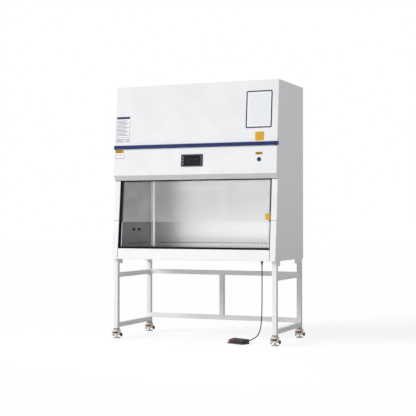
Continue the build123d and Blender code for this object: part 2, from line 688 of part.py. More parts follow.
def stand_rails():
    """Side rails between front and rear legs, two rear rails and their centre strut."""
    span = REAR_LEG_Y - FRONT_LEG_Y - TUBE
    middle = (REAR_LEG_Y + FRONT_LEG_Y) / 2
    rails = pair(Pos(LEG_X, middle, UPPER_RAIL) * Rot(90, 0, 0) * rail(span))
    rails += pair(Pos(LEG_X, middle, LOWER_SIDE_RAIL) * Rot(90, 0, 0) * rail(span))
    for height in (UPPER_RAIL + 4, LOWER_REAR_RAIL):
        rails += Pos(0, REAR_LEG_Y, height) * Rot(0, 90, 0) * rail(2 * LEG_X - TUBE)
    strut_low = LOWER_REAR_RAIL + TUBE / 2
    strut_high = UPPER_RAIL + 4 - TUBE / 2
    rails += Pos(0, REAR_LEG_Y, (strut_low + strut_high) / 2) * rail(strut_high - strut_low)
    return rails


def corner_brackets():
    """Box bracket behind or before the head of each leg, open below, bolted up to the cabinet."""
    plate = 4.0
    reach = 52.0
    drop = 40.0
    x_in, x_out = LEG_X - TUBE / 2, LEG_X + TUBE / 2
    top = CABINET_BASE
    brackets = None
    for leg_y, inward in ((FRONT_LEG_Y, 1), (REAR_LEG_Y, -1)):
        near = leg_y + inward * TUBE / 2
        far = near + inward * reach
        y0, y1 = min(near, far), max(near, far)
        shell = box(x_in, x_out, y0, y1, top - drop, top)
        shell -= box(x_in + plate, x_out - plate, y0 + plate, y1 - plate, top - drop - 1, top - plate)
        bracket = pair(shell)
        brackets = bracket if brackets is None else brackets + bracket
    return brackets


def caster_studs(corners):
    """Fixed half of each swivel: plate, threaded stud up into the leg and kingpin below."""
    stud_top = 118.0
    plate_radius = 25.0
    studs = None
    for x, y in corners:
        stud = Pos(x, y, (CASTER_TOP + LEG_FOOT) / 2) * Cylinder(plate_radius, LEG_FOOT - CASTER_TOP)
        stud += Pos(x, y, (LEG_FOOT + stud_top) / 2) * Cylinder(STEM_RADIUS, stud_top - LEG_FOOT)
        stud += Pos(x, y, (KINGPIN_LOW + CASTER_TOP) / 2) * Cylinder(STEM_RADIUS, CASTER_TOP - KINGPIN_LOW)
        studs = stud if studs is None else studs + stud
    return studs


def caster_housing(x, y):
    """Cast housing: tapered cap, three columns round the thumb ring, block with the axle bore."""
    block_low = PAD_THICK + PAD_RISE + RING_GAP
    block_high = RING_LOW - RING_GAP
    cap_low = RING_HIGH + RING_GAP
    lug_high = cap_low + 5
    cap_foot_radius, cap_head_radius = 36.0, 32.0
    block_wide, block_deep = 62.0, 66.0
    side_wide, column_deep, rear_wide = 76.0, 16.0, 32.0
    cap = Pos(0, 0, (cap_low + CAP_HIGH) / 2) * Cone(cap_foot_radius, cap_head_radius, CAP_HIGH - cap_low)
    cap = fillet(cap.edges().filter_by(GeomType.CIRCLE).sort_by(Axis.Z)[-1], 4)
    block = Pos(0, 5, block_low) * extrude(RectangleRounded(block_wide, block_deep, 12), block_high - block_low)
    side_sketch = RectangleRounded(side_wide, column_deep, 5)
    side_columns = Pos(0, -14, block_low) * extrude(side_sketch, lug_high - block_low)
    rear_sketch = RectangleRounded(rear_wide, column_deep, 5)
    rear_column = Pos(0, 30, block_high) * extrude(rear_sketch, lug_high - block_high)
    columns = side_columns + rear_column
    columns -= Pos(0, 0, (block_high + cap_low) / 2) * Cylinder(RING_RADIUS + 0.8, cap_low - block_high)
    housing = cap + block + columns
    housing -= Cylinder(STEM_RADIUS + RUNNING_GAP, 300)
    housing -= rod_x(AXLE_RADIUS + RUNNING_GAP, -side_wide, side_wide, CASTER_TRAIL, WHEEL_AXLE_HEIGHT)
    return Pos(x, y, 0) * housing


def caster_wheel(x, y):
    """Twin wheel: two crowned discs with hub recesses on one axle."""
    disc = rod_x(WHEEL_RADIUS, WHEEL_INNER, WHEEL_OUTER, 0, 0)
    disc = fillet(disc.edges().filter_by(GeomType.CIRCLE), 2.5)
    recess = WHEEL_OUTER - 2.5
    disc -= rod_x(11, recess, WHEEL_OUTER + 1, 0, 0) - rod_x(5, recess, WHEEL_OUTER + 1, 0, 0)
    wheelset = pair(disc) + rod_x(AXLE_RADIUS, -WHEEL_INNER, WHEEL_INNER, 0, 0)
    return Pos(x, y + CASTER_TRAIL, WHEEL_AXLE_HEIGHT) * wheelset


def caster_ring(x, y):
    """Thumb ring with grip notches, a nut on the pad's stem."""
    height = RING_HIGH - RING_LOW
    ring = Cylinder(RING_RADIUS, height) - Cylinder(STEM_RADIUS + 0.08, height)
    notches = 14
    for index in range(notches):
        ring -= Rot(0, 0, index * 360 / notches) * Pos(RING_RADIUS + 2.2, 0, 0) * Cylinder(4, height)
    return Pos(x, y, RING_LOW + height / 2) * ring


def caster_pad(x, y):
    """Foot pad: broad rounded disc, domed towards the threaded stem."""
    shoulder = PAD_THICK - 4
    half = [(0, 0), (PAD_RADIUS - 2, 0), (PAD_RADIUS, 2), (PAD_RADIUS, shoulder), (14, PAD_THICK),
            (STEM_RADIUS, PAD_THICK), (STEM_RADIUS, STEM_TOP), (0, STEM_TOP)]
    profile = make_face(Polyline(*[(radius, 0, z) for radius, z in half], close=True))
    return Pos(x, y, 0) * revolve(profile, Axis.Z)


FOOT_PLACE = Pos(FOOT_CENTRE[0], FOOT_CENTRE[1], 0) * Rot(0, 0, FOOT_ANGLE)
PEDAL_X = (7.0, 81.0)


def footswitch_base():
    """Low base with rounded corners, a rear housing, cheeks for the pedal pins and a cable boot."""
    half_w, half_d = FOOT_WIDTH / 2, FOOT_DEPTH / 2
    plate_high, rear_high, rib_high, cheek_high = 12.0, 40.0, 34.0, 32.0
    sunk = 1.0
    plate = extrude(RectangleRounded(FOOT_WIDTH, FOOT_DEPTH, 14), plate_high)
    plate = chamfer(plate.edges().group_by(Axis.Z)[-1], 2)
    seat = plate_high - sunk
    rear_deep = 26.0
    rear = Pos(0, half_d - 15, seat) * extrude(RectangleRounded(FOOT_WIDTH - 8, rear_deep, 8), rear_high - seat)
    rear = fillet(rear.edges().group_by(Axis.Z)[-1], 4)
    base = plate + rear + box(-5, 5, -30, half_d - 20, seat - 1, rib_high)
    base += pair(box(PEDAL_X[1] + 1.5, half_w - 1.5, -12, half_d - 20, seat - 1, cheek_high))
    base -= rod_x(PEDAL_PIN_RADIUS + RUNNING_GAP, -half_w - 1, half_w + 1, PEDAL_PIN_Y, PEDAL_PIN_Z)
    boot_long, boot_radius = 24.0, 8.0
    boot = Cone(boot_radius, CABLE_DIAMETER / 2 + 0.6, boot_long)
    boot = Pos(62, half_d + 8, CABLE_ROUTE[0][2]) * Rot(-90, 0, 0) * boot
    return FOOT_PLACE * (base + boot)


def pedal():
    """Right pedal: hollow wedge cap with a crowned top, ribs under it and its two pins."""
    profile = [(-41, 17), (-41, 25), (-30, 30), (-8, 35), (8, 38), (17, 36), (17, 17)]
    cap = prism(profile, *PEDAL_X)
    cap = fillet(cap.edges().filter_by(Axis.Z).group_by(Axis.Y)[0], 10)
    wall = 3.0
    hollow_y = (-37.0, 4.0)
    hollow_top = 22.0
    cap -= box(PEDAL_X[0] + wall, PEDAL_X[1] - wall, *hollow_y, 16, hollow_top)
    middle = sum(PEDAL_X) / 2
    cap += box(middle - wall / 2, middle + wall / 2, *hollow_y, 17, hollow_top)
    cap += rod_x(PEDAL_PIN_RADIUS, PEDAL_X[0] - 6, PEDAL_X[0], PEDAL_PIN_Y, PEDAL_PIN_Z)
    cap += rod_x(PEDAL_PIN_RADIUS, PEDAL_X[1], PEDAL_X[1] + 5, PEDAL_PIN_Y, PEDAL_PIN_Z)
    return cap


def cable_gland():
    """Hexagonal gland under the floor with a tapered strain relief and a lock nut above."""
    x, y = GLAND_AT
    body_high, thread_long, nut_high, taper_long = 14.0, 16.0, 4.0, 26.0
    hexagon = Pos(x, y, CABINET_BASE - body_high) * extrude(RegularPolygon(13, 6), body_high)
    taper = Pos(x, y, CABINET_BASE - body_high - taper_long / 2) * Cone(CABLE_DIAMETER / 2 + 0.8, 9, taper_long)
    thread = Pos(x, y, CABINET_BASE) * Cylinder(GLAND_THREAD_RADIUS, thread_long)
    nut = Pos(x, y, CABINET_BASE + SHEET) * extrude(RegularPolygon(12, 6), nut_high)
    return hexagon + taper + thread + nut


def footswitch_cable():
    """Free cable from the gland to the boot: straight runs joined by arcs as large as they allow."""
    points = [Vector(*point) for point in CABLE_ROUTE]
    radii = []
    for before, at, after in zip(points, points[1:], points[2:]):
        turn = (at - before).get_angle(after - at)
        shorter = min((at - before).length, (after - at).length)
        radii.append(0.45 * shorter / tan(radians(turn / 2)))
    path = FilletPolyline(*CABLE_ROUTE, radius=radii)
    start = Plane(origin=path @ 0, z_dir=path % 0)
    tube = sweep(start * Circle(CABLE_DIAMETER / 2), path=path)
    print("cable radii", [round(radius) for radius in radii])
    section = pi * CABLE_DIAMETER ** 2 / 4
    share = tube.volume / (section * path.length)
    print("cable length", round(path.length, 1), "volume / (section x length)", round(share, 4))
    return tube


def add_part(name, shape):
    """Keep a finished piece under its node name."""
    parts[name] = shape


add_part("side_panel_right", side_panel())
add_part("side_panel_left", mirror(side_panel(), about=Plane.YZ))
add_part("rear_panel", rear_panel())
add_part("top_panel", top_panel())
add_part("exhaust_grille", exhaust_grille())
add_part("floor_panel", floor_panel())
add_part("upper_front_panel", upper_front_panel())
add_part("trim_strip", trim_strip())
add_part("document_frame", document_frame())
add_part("control_panel", control_panel())
add_part("display_bezel", display_bezel())
add_part("display_screen", display_screen())
add_part("key_lock", key_lock())
add_part("bottom_front_panel", bottom_front_panel())
add_part("inner_side_walls", inner_side_walls())
add_part("inner_rear_wall", inner_rear_wall())
add_part("base_pan", base_pan())
add_part("work_tray", work_tray())
add_part("diffuser_panel", diffuser_panel())
supply_high = CHAMBER_TOP + 80
exhaust_low, exhaust_high = HEIGHT - 90, HEIGHT - 2 * SHEET
add_part("supply_filter", pleated_filter(CHAMBER_SIDE - 2, *SUPPLY_FILTER_Y, CHAMBER_TOP, supply_high, 36))
add_part("exhaust_filter", pleated_filter(EXHAUST_X + 15, *EXHAUST_FILTER_Y, exhaust_low, exhaust_high, 16))
add_part("plenum_deck", plenum_deck())
add_part("blower_housing", blower_housing())
add_part("impeller", impeller())
add_part("lamps", lamps())
add_part("sash_glass", sash_glass())
add_part("sash_clamps", sash_clamps())
add_part("sash_tracks", sash_tracks())
add_part("drive_belts", drive_belts())
add_part("drive_shaft", drive_shaft())
add_part("idler_pulleys", idler_pulleys())
add_part("shaft_bearings", shaft_bearings())
add_part("sash_motor", sash_motor())
add_part("valve_knob_front", valve_knob(VALVE_Y[0]))
add_part("valve_knob_rear", valve_knob(VALVE_Y[1]))
add_part("stand_legs", stand_legs())
add_part("stand_rails", stand_rails())
add_part("corner_brackets", corner_brackets())

corners = {
    "front_left": (-LEG_X, FRONT_LEG_Y), "front_right": (LEG_X, FRONT_LEG_Y),
    "rear_left": (-LEG_X, REAR_LEG_Y), "rear_right": (LEG_X, REAR_LEG_Y),
}
add_part("caster_studs", caster_studs(corners.values()))
for corner, (corner_x, corner_y) in corners.items():
    add_part("caster_housing_" + corner, caster_housing(corner_x, corner_y))
    add_part("caster_wheel_" + corner, caster_wheel(corner_x, corner_y))
    add_part("caster_ring_" + corner, caster_ring(corner_x, corner_y))
    add_part("caster_pad_" + corner, caster_pad(corner_x, corner_y))

add_part("footswitch_base", footswitch_base())
add_part("pedal_right", FOOT_PLACE * pedal())
add_part("pedal_left", FOOT_PLACE * mirror(pedal(), about=Plane.YZ))
add_part("cable_gland", cable_gland())
add_part("footswitch_cable", footswitch_cable())

os.makedirs("parts", exist_ok=True)
for name, shape in parts.items():
    export_step(shape, f"parts/{name}.step")
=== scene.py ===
# %% [markdown]
# A biosafety cabinet is a large sheet-metal box on a tube stand: a leaning front with a sliding glass
# sash, a steel chamber behind it and a filter head above.  The construction comes ready as a fixed
# frame of real pieces.  This script dresses that frame: finishes, labels, screws, the display's
# picture and the cable, then a plain studio with a camera.

import math

import bpy
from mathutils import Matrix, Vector


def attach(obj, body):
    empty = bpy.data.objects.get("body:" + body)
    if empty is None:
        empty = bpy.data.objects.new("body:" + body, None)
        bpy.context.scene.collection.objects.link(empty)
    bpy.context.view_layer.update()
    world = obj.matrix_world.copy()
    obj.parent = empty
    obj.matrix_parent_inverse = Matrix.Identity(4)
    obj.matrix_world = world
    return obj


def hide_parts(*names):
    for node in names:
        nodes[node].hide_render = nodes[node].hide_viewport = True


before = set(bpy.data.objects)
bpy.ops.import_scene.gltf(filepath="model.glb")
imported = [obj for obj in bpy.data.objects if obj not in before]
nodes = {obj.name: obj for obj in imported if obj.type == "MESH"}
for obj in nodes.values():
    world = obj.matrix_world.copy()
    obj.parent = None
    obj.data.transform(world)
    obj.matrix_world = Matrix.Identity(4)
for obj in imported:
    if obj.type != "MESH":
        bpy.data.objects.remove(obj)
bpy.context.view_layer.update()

# %% [markdown]
# Every length below is worked out in metres from sizes in millimetres, because the maker's drawings
# of such sheet-metal work are in millimetres.  The two leaning lines of the front are needed all the
# time: the posts lean back by a little more than five degrees and the panels above the lip by five.

# %% Driving sizes
MM = 0.001
SIDE = 0.750
BACK = 0.370
CABINET_BASE = 0.690
TOP = 2.190
POST_SLOPE = math.tan(math.radians(5.36))
PANEL_SLOPE = math.tan(math.radians(5.0))
PANEL_FOOT = 1.413
PANEL_FOOT_Y = -0.3394
POST_TOP = 1.370
SASH_FOOT = 1.012
CHAMBER_SIDE = 0.675
CHAMBER_BACK = 0.272
GLASS_SETBACK = 0.012
POST_MIDDLE = 0.725
BOTH_SIDES = (("left", -1), ("right", 1))


def post_y(z):
    """Front of the posts at height z."""
    return -BACK + (z - CABINET_BASE) * POST_SLOPE


def panel_y(z):
    """Front face above the lip at height z."""
    return PANEL_FOOT_Y + (z - PANEL_FOOT) * PANEL_SLOPE


print("post front at the sash foot", round(post_y(SASH_FOOT), 4))

# %% [markdown]
# The camera comes first, because everything else is judged through it.  The cabinet is seen from its
# right front, from a long way off, with a long lens that looks almost level: that keeps the upright
# edges nearly parallel, as in a catalogue picture.

# %% Camera
CAMERA_AT = (3.5505, -8.3433, 1.0314)
CAMERA_TURN = 23.057
CAMERA_RISE = 0.64
SENSOR = 36.0
FOCAL_IN_WIDTHS = 1037.42 / 416

camera_data = bpy.data.cameras.new("camera")
camera_data.sensor_width = SENSOR
camera_data.sensor_fit = "HORIZONTAL"
camera_data.lens = SENSOR * FOCAL_IN_WIDTHS
camera = bpy.data.objects.new("camera", camera_data)
camera.location = CAMERA_AT
camera.rotation_euler = (math.radians(90 + CAMERA_RISE), 0, math.radians(CAMERA_TURN))
bpy.context.scene.collection.objects.link(camera)
bpy.context.scene.camera = camera
print("lens", round(camera_data.lens, 2), "mm")

# %% [markdown]
# Studio light for a white product has to leave the whites a little below full, or every edge is lost.
# An even sky fills the shadows, and one broad far lamp stands high at the left front, too far to the
# side for the panels to mirror it.  A long soft box near the floor lifts the apron and the legs.
# The backdrop is white only to the eye, to reflections and through glass, so it adds no light itself.

# %% World and lamps
SKY_STRENGTH = 0.5
KEY_STRENGTH = 2.25
FILL_WATTS = 8.0
view = bpy.context.scene.view_settings
view.view_transform = "Standard"

world = bpy.data.worlds.new("studio")
bpy.context.scene.world = world
world.use_nodes = True
world.node_tree.nodes.clear()


def add_node(owner, kind, inputs=None, **settings):
    """Add one node with its settings; an input is a constant, or a socket to link from."""
    tree = owner.node_tree
    node = tree.nodes.new(kind)
    for key, value in settings.items():
        setattr(node, key, value)
    for key, value in (inputs or {}).items():
        if isinstance(value, bpy.types.NodeSocket):
            tree.links.new(value, node.inputs[key])
        else:
            node.inputs[key].default_value = value
    return node


rays = add_node(world, "ShaderNodeLightPath")
seen = add_node(world, "ShaderNodeMath", {0: rays.outputs["Is Camera Ray"], 1: rays.outputs["Is Glossy Ray"]},
                operation="MAXIMUM")
seen = add_node(world, "ShaderNodeMath", {0: seen.outputs[0], 1: rays.outputs["Is Transmission Ray"]},
                operation="MAXIMUM")
sky = add_node(world, "ShaderNodeBackground", {"Color": (1, 1, 1, 1), "Strength": SKY_STRENGTH})
white = add_node(world, "ShaderNodeBackground", {"Color": (1, 1, 1, 1), "Strength": 1.0})
mixed = add_node(world, "ShaderNodeMixShader", {0: seen.outputs[0], 1: sky.outputs[0], 2: white.outputs[0]})
add_node(world, "ShaderNodeOutputWorld", {"Surface": mixed.outputs[0]})


def broad_sun(name, towards, strength, spread):
    """A far, broad lamp: even over the whole set, with soft-edged shadows."""
    data = bpy.data.lights.new(name, "SUN")
    data.energy = strength
    data.angle = math.radians(spread)
    lamp = bpy.data.objects.new(name, data)
    lamp.rotation_euler = (-Vector(towards)).to_track_quat("-Z", "Y").to_euler()
    bpy.context.scene.collection.objects.link(lamp)
    return lamp


def soft_panel(name, place, aim, width, height, watts):
    """A soft box: a rectangular lamp that looks at a point."""
    data = bpy.data.lights.new(name, "AREA")
    data.shape = "RECTANGLE"
    data.size = width
    data.size_y = height
    data.energy = watts
    lamp = bpy.data.objects.new(name, data)
    lamp.location = place
    lamp.rotation_euler = (Vector(aim) - Vector(place)).to_track_quat("-Z", "Y").to_euler()
    bpy.context.scene.collection.objects.link(lamp)
    return lamp


broad_sun("key_light", (-0.66, -0.56, 0.50), KEY_STRENGTH, 30)
soft_panel("low_fill", (-0.4, -2.3, 0.40), (0.1, -0.3, 0.85), 2.4, 0.5, FILL_WATTS)

# %% [markdown]
# Colours are chosen as the familiar hex values of a paint chart.  Shaders work in linear light, so one
# small function turns a hex value into the linear colour that the shader needs.

# %% Colour and material helpers
def colour(code, alpha=1.0):
    """Linear colour of a hex value such as #E6E7E9."""
    channels = [int(code[i:i + 2], 16) / 255 for i in (1, 3, 5)]
    linear = [c / 12.92 if c <= 0.04045 else ((c + 0.055) / 1.055) ** 2.4 for c in channels]
    return (*linear, alpha)


def begin_material(name):
    """An empty material with its Principled shader wired to the output."""
    material = bpy.data.materials.new(name)
    material.use_nodes = True
    material.node_tree.nodes.clear()
    shader = add_node(material, "ShaderNodeBsdfPrincipled")
    add_node(material, "ShaderNodeOutputMaterial", {"Surface": shader.outputs[0]})
    return material, shader


def link(material, source, target):
    """Wire one socket to another."""
    material.node_tree.links.new(source, target)


def grain(material, size_mm, stretch=(1, 1, 1), detail=2.0):
    """Noise on Object coordinates whose blobs are about size_mm across, stretched along the axes."""
    where = add_node(material, "ShaderNodeTexCoord")
    mapping = add_node(material, "ShaderNodeMapping", {"Vector": where.outputs["Object"],
                                                       "Scale": tuple(1 / s for s in stretch)})
    return add_node(material, "ShaderNodeTexNoise", {"Vector": mapping.outputs[0],
                                                     "Scale": 1 / (size_mm * MM), "Detail": detail})


def two_tones(material, noise, dark, light, low=0.35, high=0.65):
    """Colour ramp that runs from one tone to another over the middle of a noise."""
    ramp = add_node(material, "ShaderNodeValToRGB", {"Fac": noise.outputs["Fac"]})
    ramp.color_ramp.elements[0].position = low
    ramp.color_ramp.elements[0].color = colour(dark)
    ramp.color_ramp.elements[1].position = high
    ramp.color_ramp.elements[1].color = colour(light)
    return ramp


def roughness_between(material, shader, noise, low, high):
    """Let the shine vary between two values with a noise."""
    spread = add_node(material, "ShaderNodeMapRange", {"Value": noise.outputs["Fac"], "From Min": 0.3,
                                                       "From Max": 0.7, "To Min": low, "To Max": high})
    link(material, spread.outputs[0], shader.inputs["Roughness"])


def bump(material, shader, noise, depth_mm, strength=0.3):
    """Relief of a real depth in millimetres from a noise."""
    relief = add_node(material, "ShaderNodeBump", {"Height": noise.outputs["Fac"], "Strength": strength,
                                                   "Distance": depth_mm * MM})
    link(material, relief.outputs[0], shader.inputs["Normal"])


print("white of the panels", [round(c, 3) for c in colour("#E6E7E9")[:3]])

# %% [markdown]
# Powder coat is a baked polymer film on steel.  It is not quite flat: it levels into a very fine
# "orange peel", about two millimetres from crest to crest, which softens reflections.  The colour is
# even, so the tone only drifts by a hair over a palm's width, as it does with dust and cleaning.

# %% Powder-coated steel
def powder_coat(name, dark, light, shine=0.38):
    """Baked powder coat: IOR of a polymer, soft shine, orange peel and a faint drift of tone."""
    material, shader = begin_material(name)
    drift = grain(material, 180.0, detail=3.0)
    link(material, two_tones(material, drift, dark, light).outputs["Color"], shader.inputs["Base Color"])
    roughness_between(material, shader, drift, shine - 0.04, shine + 0.05)
    bump(material, shader, grain(material, 2.4), 0.05, 0.25)
    shader.inputs["IOR"].default_value = 1.5
    return material


panel_white = powder_coat("powder_coat_white", "#E9EAEC", "#EDEEF0")
stand_white = powder_coat("powder_coat_stand", "#E6E7E9", "#ECEDEE", 0.42)
caster_paint = powder_coat("cast_housing_paint", "#C4BFB1", "#CFCBBF", 0.45)
print("coats", panel_white.name, stand_white.name, caster_paint.name)

# %% [markdown]
# Brushed stainless steel is drawn under an abrasive belt.  The scratches run one way, a fraction of a
# millimetre wide and a palm long, and spread each reflection across them.  The lines here are drawn
# about a millimetre wide, coarser than the real ones, so that they show at this distance.

# %% Brushed and plain metals
SCRATCH_WIDTH_MM = 1.1
SCRATCH_STRETCH = 120.0


def brushed_steel(name, dark, light, along, shine=0.34, depth_mm=0.01, play=0.07):
    """Belt-ground stainless steel with long scratches along an axis; play is how far the shine varies."""
    material, shader = begin_material(name)
    stretch = [1.0, 1.0, 1.0]
    stretch[along] = SCRATCH_STRETCH
    lines = grain(material, SCRATCH_WIDTH_MM, tuple(stretch), 3.0)
    tones = two_tones(material, lines, dark, light, 0.3, 0.7)
    link(material, tones.outputs["Color"], shader.inputs["Base Color"])
    roughness_between(material, shader, lines, shine - play, shine + play)
    bump(material, shader, lines, depth_mm, 0.2)
    shader.inputs["Metallic"].default_value = 1.0
    return material


def plain_metal(name, dark, light, shine, size_mm):
    """Metal with a fine mottled surface: castings, zinc plate, galvanised sheet."""
    material, shader = begin_material(name)
    mottle = grain(material, size_mm, detail=4.0)
    link(material, two_tones(material, mottle, dark, light).outputs["Color"], shader.inputs["Base Color"])
    roughness_between(material, shader, mottle, shine - 0.08, shine + 0.1)
    bump(material, shader, mottle, 0.05, 0.2)
    shader.inputs["Metallic"].default_value = 1.0
    return material


# The chamber's side walls take a dark tone that is painted shade: they are the same stainless steel as the rear
# wall, shown as they fall in shade.
shaded_wall_steel = brushed_steel("stainless_brushed_upright_painted_shade", "#797A7C", "#808183", 2, 0.34, 0.003, 0.03)
# The rear wall and diffuser take a near-white tone that is painted light: the same steel, shown as it is lit.
lit_rear_steel = brushed_steel("stainless_brushed_level_painted_light", "#F0F1F2", "#F3F4F5", 0, 0.3, 0.001, 0.01)
tray_steel = brushed_steel("stainless_tray_brushed", "#84868A", "#94969A", 0, 0.36)
galvanised = plain_metal("galvanised_sheet", "#9EA2A5", "#B9BDC0", 0.42, 14.0)
zinc_plate = plain_metal("zinc_plated_steel", "#8D8F93", "#A9ABAE", 0.32, 3.0)
cast_alloy = plain_metal("die_cast_alloy", "#84878B", "#9B9EA1", 0.45, 2.0)
lock_metal = plain_metal("black_nickel_lock", "#2F3853", "#3F4865", 0.36, 5.0)
print("metals", shaded_wall_steel.name, tray_steel.name, zinc_plate.name)

# %% [markdown]
# Moulded plastics and rubbers take a fine spark-eroded texture from their tool.  It breaks the
# highlight into a soft sheen.  Each has its own base tone, texture size and shine.

# %% Plastics and rubbers
def moulded(name, dark, light, shine, texture_mm=0.9, depth_mm=0.04, gloss=0.5):
    """Injection-moulded part with the eroded texture of its tool; a lower gloss keeps a dark one dark."""
    material, shader = begin_material(name)
    drift = grain(material, 26.0, detail=3.0)
    link(material, two_tones(material, drift, dark, light).outputs["Color"], shader.inputs["Base Color"])
    roughness_between(material, shader, drift, shine - 0.04, shine + 0.06)
    bump(material, shader, grain(material, texture_mm), depth_mm, 0.3)
    shader.inputs["IOR"].default_value = 1.49
    shader.inputs["Specular IOR Level"].default_value = gloss
    return material


def lit(material, tone, strength):
    """Let a material also give off light of its own."""
    shader = next(node for node in material.node_tree.nodes if node.type == "BSDF_PRINCIPLED")
    shader.inputs["Emission Color"].default_value = colour(tone)
    shader.inputs["Emission Strength"].default_value = strength
    return material


strip_blue = moulded("moulded_strip_blue", "#15265E", "#1B2E6A", 0.4, gloss=0.25)
frame_blue = moulded("moulded_frame_blue", "#0F1E44", "#15264F", 0.4, gloss=0.2)
black_abs = moulded("abs_black_moulded", "#08090A", "#0F1011", 0.5, gloss=0.2)
bezel_abs = moulded("abs_bezel_slate", "#2B333F", "#353E4B", 0.4, gloss=0.3)
ring_red = moulded("nylon_ring_dark_red", "#6A2C2A", "#7A3733", 0.45)
wheel_nylon = moulded("nylon_wheel_grey", "#3A3C3F", "#4A4C4F", 0.45)
pad_rubber = moulded("rubber_pad_ivory", "#B6B1A4", "#C4C0B4", 0.65, 1.4, 0.08)
switch_grey = moulded("abs_switch_base_grey", "#363C40", "#42494E", 0.5, gloss=0.35)
pedal_red = moulded("abs_pedal_wine_red", "#5E2731", "#70323C", 0.42)
pedal_dark = moulded("abs_pedal_dark", "#2A3030", "#363C3C", 0.42)
cable_rubber = moulded("pvc_cable_jacket", "#141618", "#1E2022", 0.5, 1.2, 0.03, gloss=0.25)
belt_rubber = moulded("neoprene_belt", "#141414", "#1E1E1E", 0.7)
# This black serves the real seals and also the dark bars and films that are painted shade.
gasket_and_shade_black = moulded("foam_gasket_and_painted_shade_black", "#08080A", "#101012", 0.8, 1.5, 0.1, gloss=0.15)
filter_paper = moulded("glass_fibre_filter_paper", "#E7E5DC", "#F1F0E9", 0.85, 1.6, 0.1)
lamp_opal = lit(moulded("opal_lamp_tube", "#EDEDE8", "#F4F4F0", 0.2), "#FFFDF6", 1.2)
print("plastics", strip_blue.name, black_abs.name, pad_rubber.name)

# %% [markdown]
# The sash is toughened glass, clear with a very slight grey.  A pane this thin hardly bends the view,
# so it is made as a mostly see-through skin with a mirror-smooth surface: that keeps the chamber
# behind it bright and still gives the pane its faint veil.

# %% Glass
def thin_glass(name, tint, veil, shine=0.03):
    """Clear pane: a see-through share, a tint and a smooth surface."""
    material, shader = begin_material(name)
    smear = grain(material, 90.0, detail=3.0)
    tones = two_tones(material, smear, tint, "#FFFFFF", 0.1, 0.9)
    link(material, tones.outputs["Color"], shader.inputs["Base Color"])
    roughness_between(material, shader, smear, shine, shine + 0.04)
    shader.inputs["Alpha"].default_value = veil
    shader.inputs["IOR"].default_value = 1.52
    return material


sash_clear = thin_glass("toughened_glass_sash", "#AEB4B6", 0.13)
border_enamel = moulded("fired_enamel_black", "#050506", "#0A0A0B", 0.4, 3.0, 0.004, gloss=0.15)
screen_glass = moulded("display_glass_black", "#0B0C0E", "#111316", 0.15, 6.0, 0.002, gloss=0.2)
print("glass", sash_clear.name, screen_glass.name)

# %% [markdown]
# Each node of the frame now gets its finish.  The table reads as a parts list: a finish and the pieces
# that have it.

# %% Finishes of the frame's own pieces
CORNERS = ("front_left", "front_right", "rear_left", "rear_right")


def each_caster(part):
    """The four names of a caster part."""
    return [f"caster_{part}_{corner}" for corner in CORNERS]


finishes = [
    (panel_white, ["upper_front_panel", "control_panel", "bottom_front_panel", "top_panel", "rear_panel"]),
    (panel_white, ["exhaust_grille", "floor_panel"]),
    (panel_white, ["side_panel_left", "side_panel_right"]),
    (strip_blue, ["trim_strip"]),
    (frame_blue, ["document_frame"]),
    # Painted shade on the chamber's side walls.
    (shaded_wall_steel, ["inner_side_walls"]),
    # Painted light on the rear wall and diffuser.
    (lit_rear_steel, ["inner_rear_wall", "diffuser_panel"]),
    (tray_steel, ["work_tray", "base_pan"]),
    (galvanised, ["plenum_deck", "blower_housing", "impeller"]),
    (zinc_plate, ["drive_shaft", "idler_pulleys", "caster_studs"]),
    (cast_alloy, ["shaft_bearings", "sash_motor"]),
    (lock_metal, ["key_lock"]),
    (black_abs, ["sash_tracks", "sash_clamps", "valve_knob_front", "valve_knob_rear", "cable_gland"]),
    (bezel_abs, ["display_bezel"]),
    (screen_glass, ["display_screen"]),
    (belt_rubber, ["drive_belts"]),
    (filter_paper, ["supply_filter", "exhaust_filter"]),
    (lamp_opal, ["lamps"]),
    (sash_clear, ["sash_glass"]),
    (stand_white, ["stand_legs", "stand_rails", "corner_brackets"]),
    (caster_paint, each_caster("housing")),
    (wheel_nylon, each_caster("wheel")),
    (ring_red, each_caster("ring")),
    (pad_rubber, each_caster("pad")),
    (switch_grey, ["footswitch_base"]),
    (pedal_red, ["pedal_left"]),
    (pedal_dark, ["pedal_right"]),
    (cable_rubber, ["footswitch_cable"]),
]
for material, names in finishes:
    for name in names:
        piece = nodes[name]
        piece.data.materials.clear()
        piece.data.materials.append(material)
dressed = {name for _, names in finishes for name in names}
print("undressed nodes", sorted(set(nodes) - dressed))

# %% [markdown]
# Thin plates are cut and stuck on sheet-metal work everywhere: labels, cards, cover plates.  One way to
# make them serves all.  A plane is added, sized in edit mode, its corners rounded by a vertex bevel, and
# its face pulled out by the plate's thickness.  Then it is leaned onto the panel that carries it.

# %% A thin plate on a leaning face
LABEL_THICK = 0.4 * MM
PANEL_LEAN = math.atan(PANEL_SLOPE)
POST_LEAN = math.atan(POST_SLOPE)


def deselect():
    """Nothing selected, object mode."""
    if bpy.context.object and bpy.context.object.mode != "OBJECT":
        bpy.ops.object.mode_set(mode="OBJECT")
    bpy.ops.object.select_all(action="DESELECT")


def settle(piece):
    """Bake a piece's place into its mesh, so that its object sits at the origin."""
    deselect()
    piece.select_set(True)
    bpy.context.view_layer.objects.active = piece
    bpy.ops.object.transform_apply(location=True, rotation=True, scale=True)
    return piece


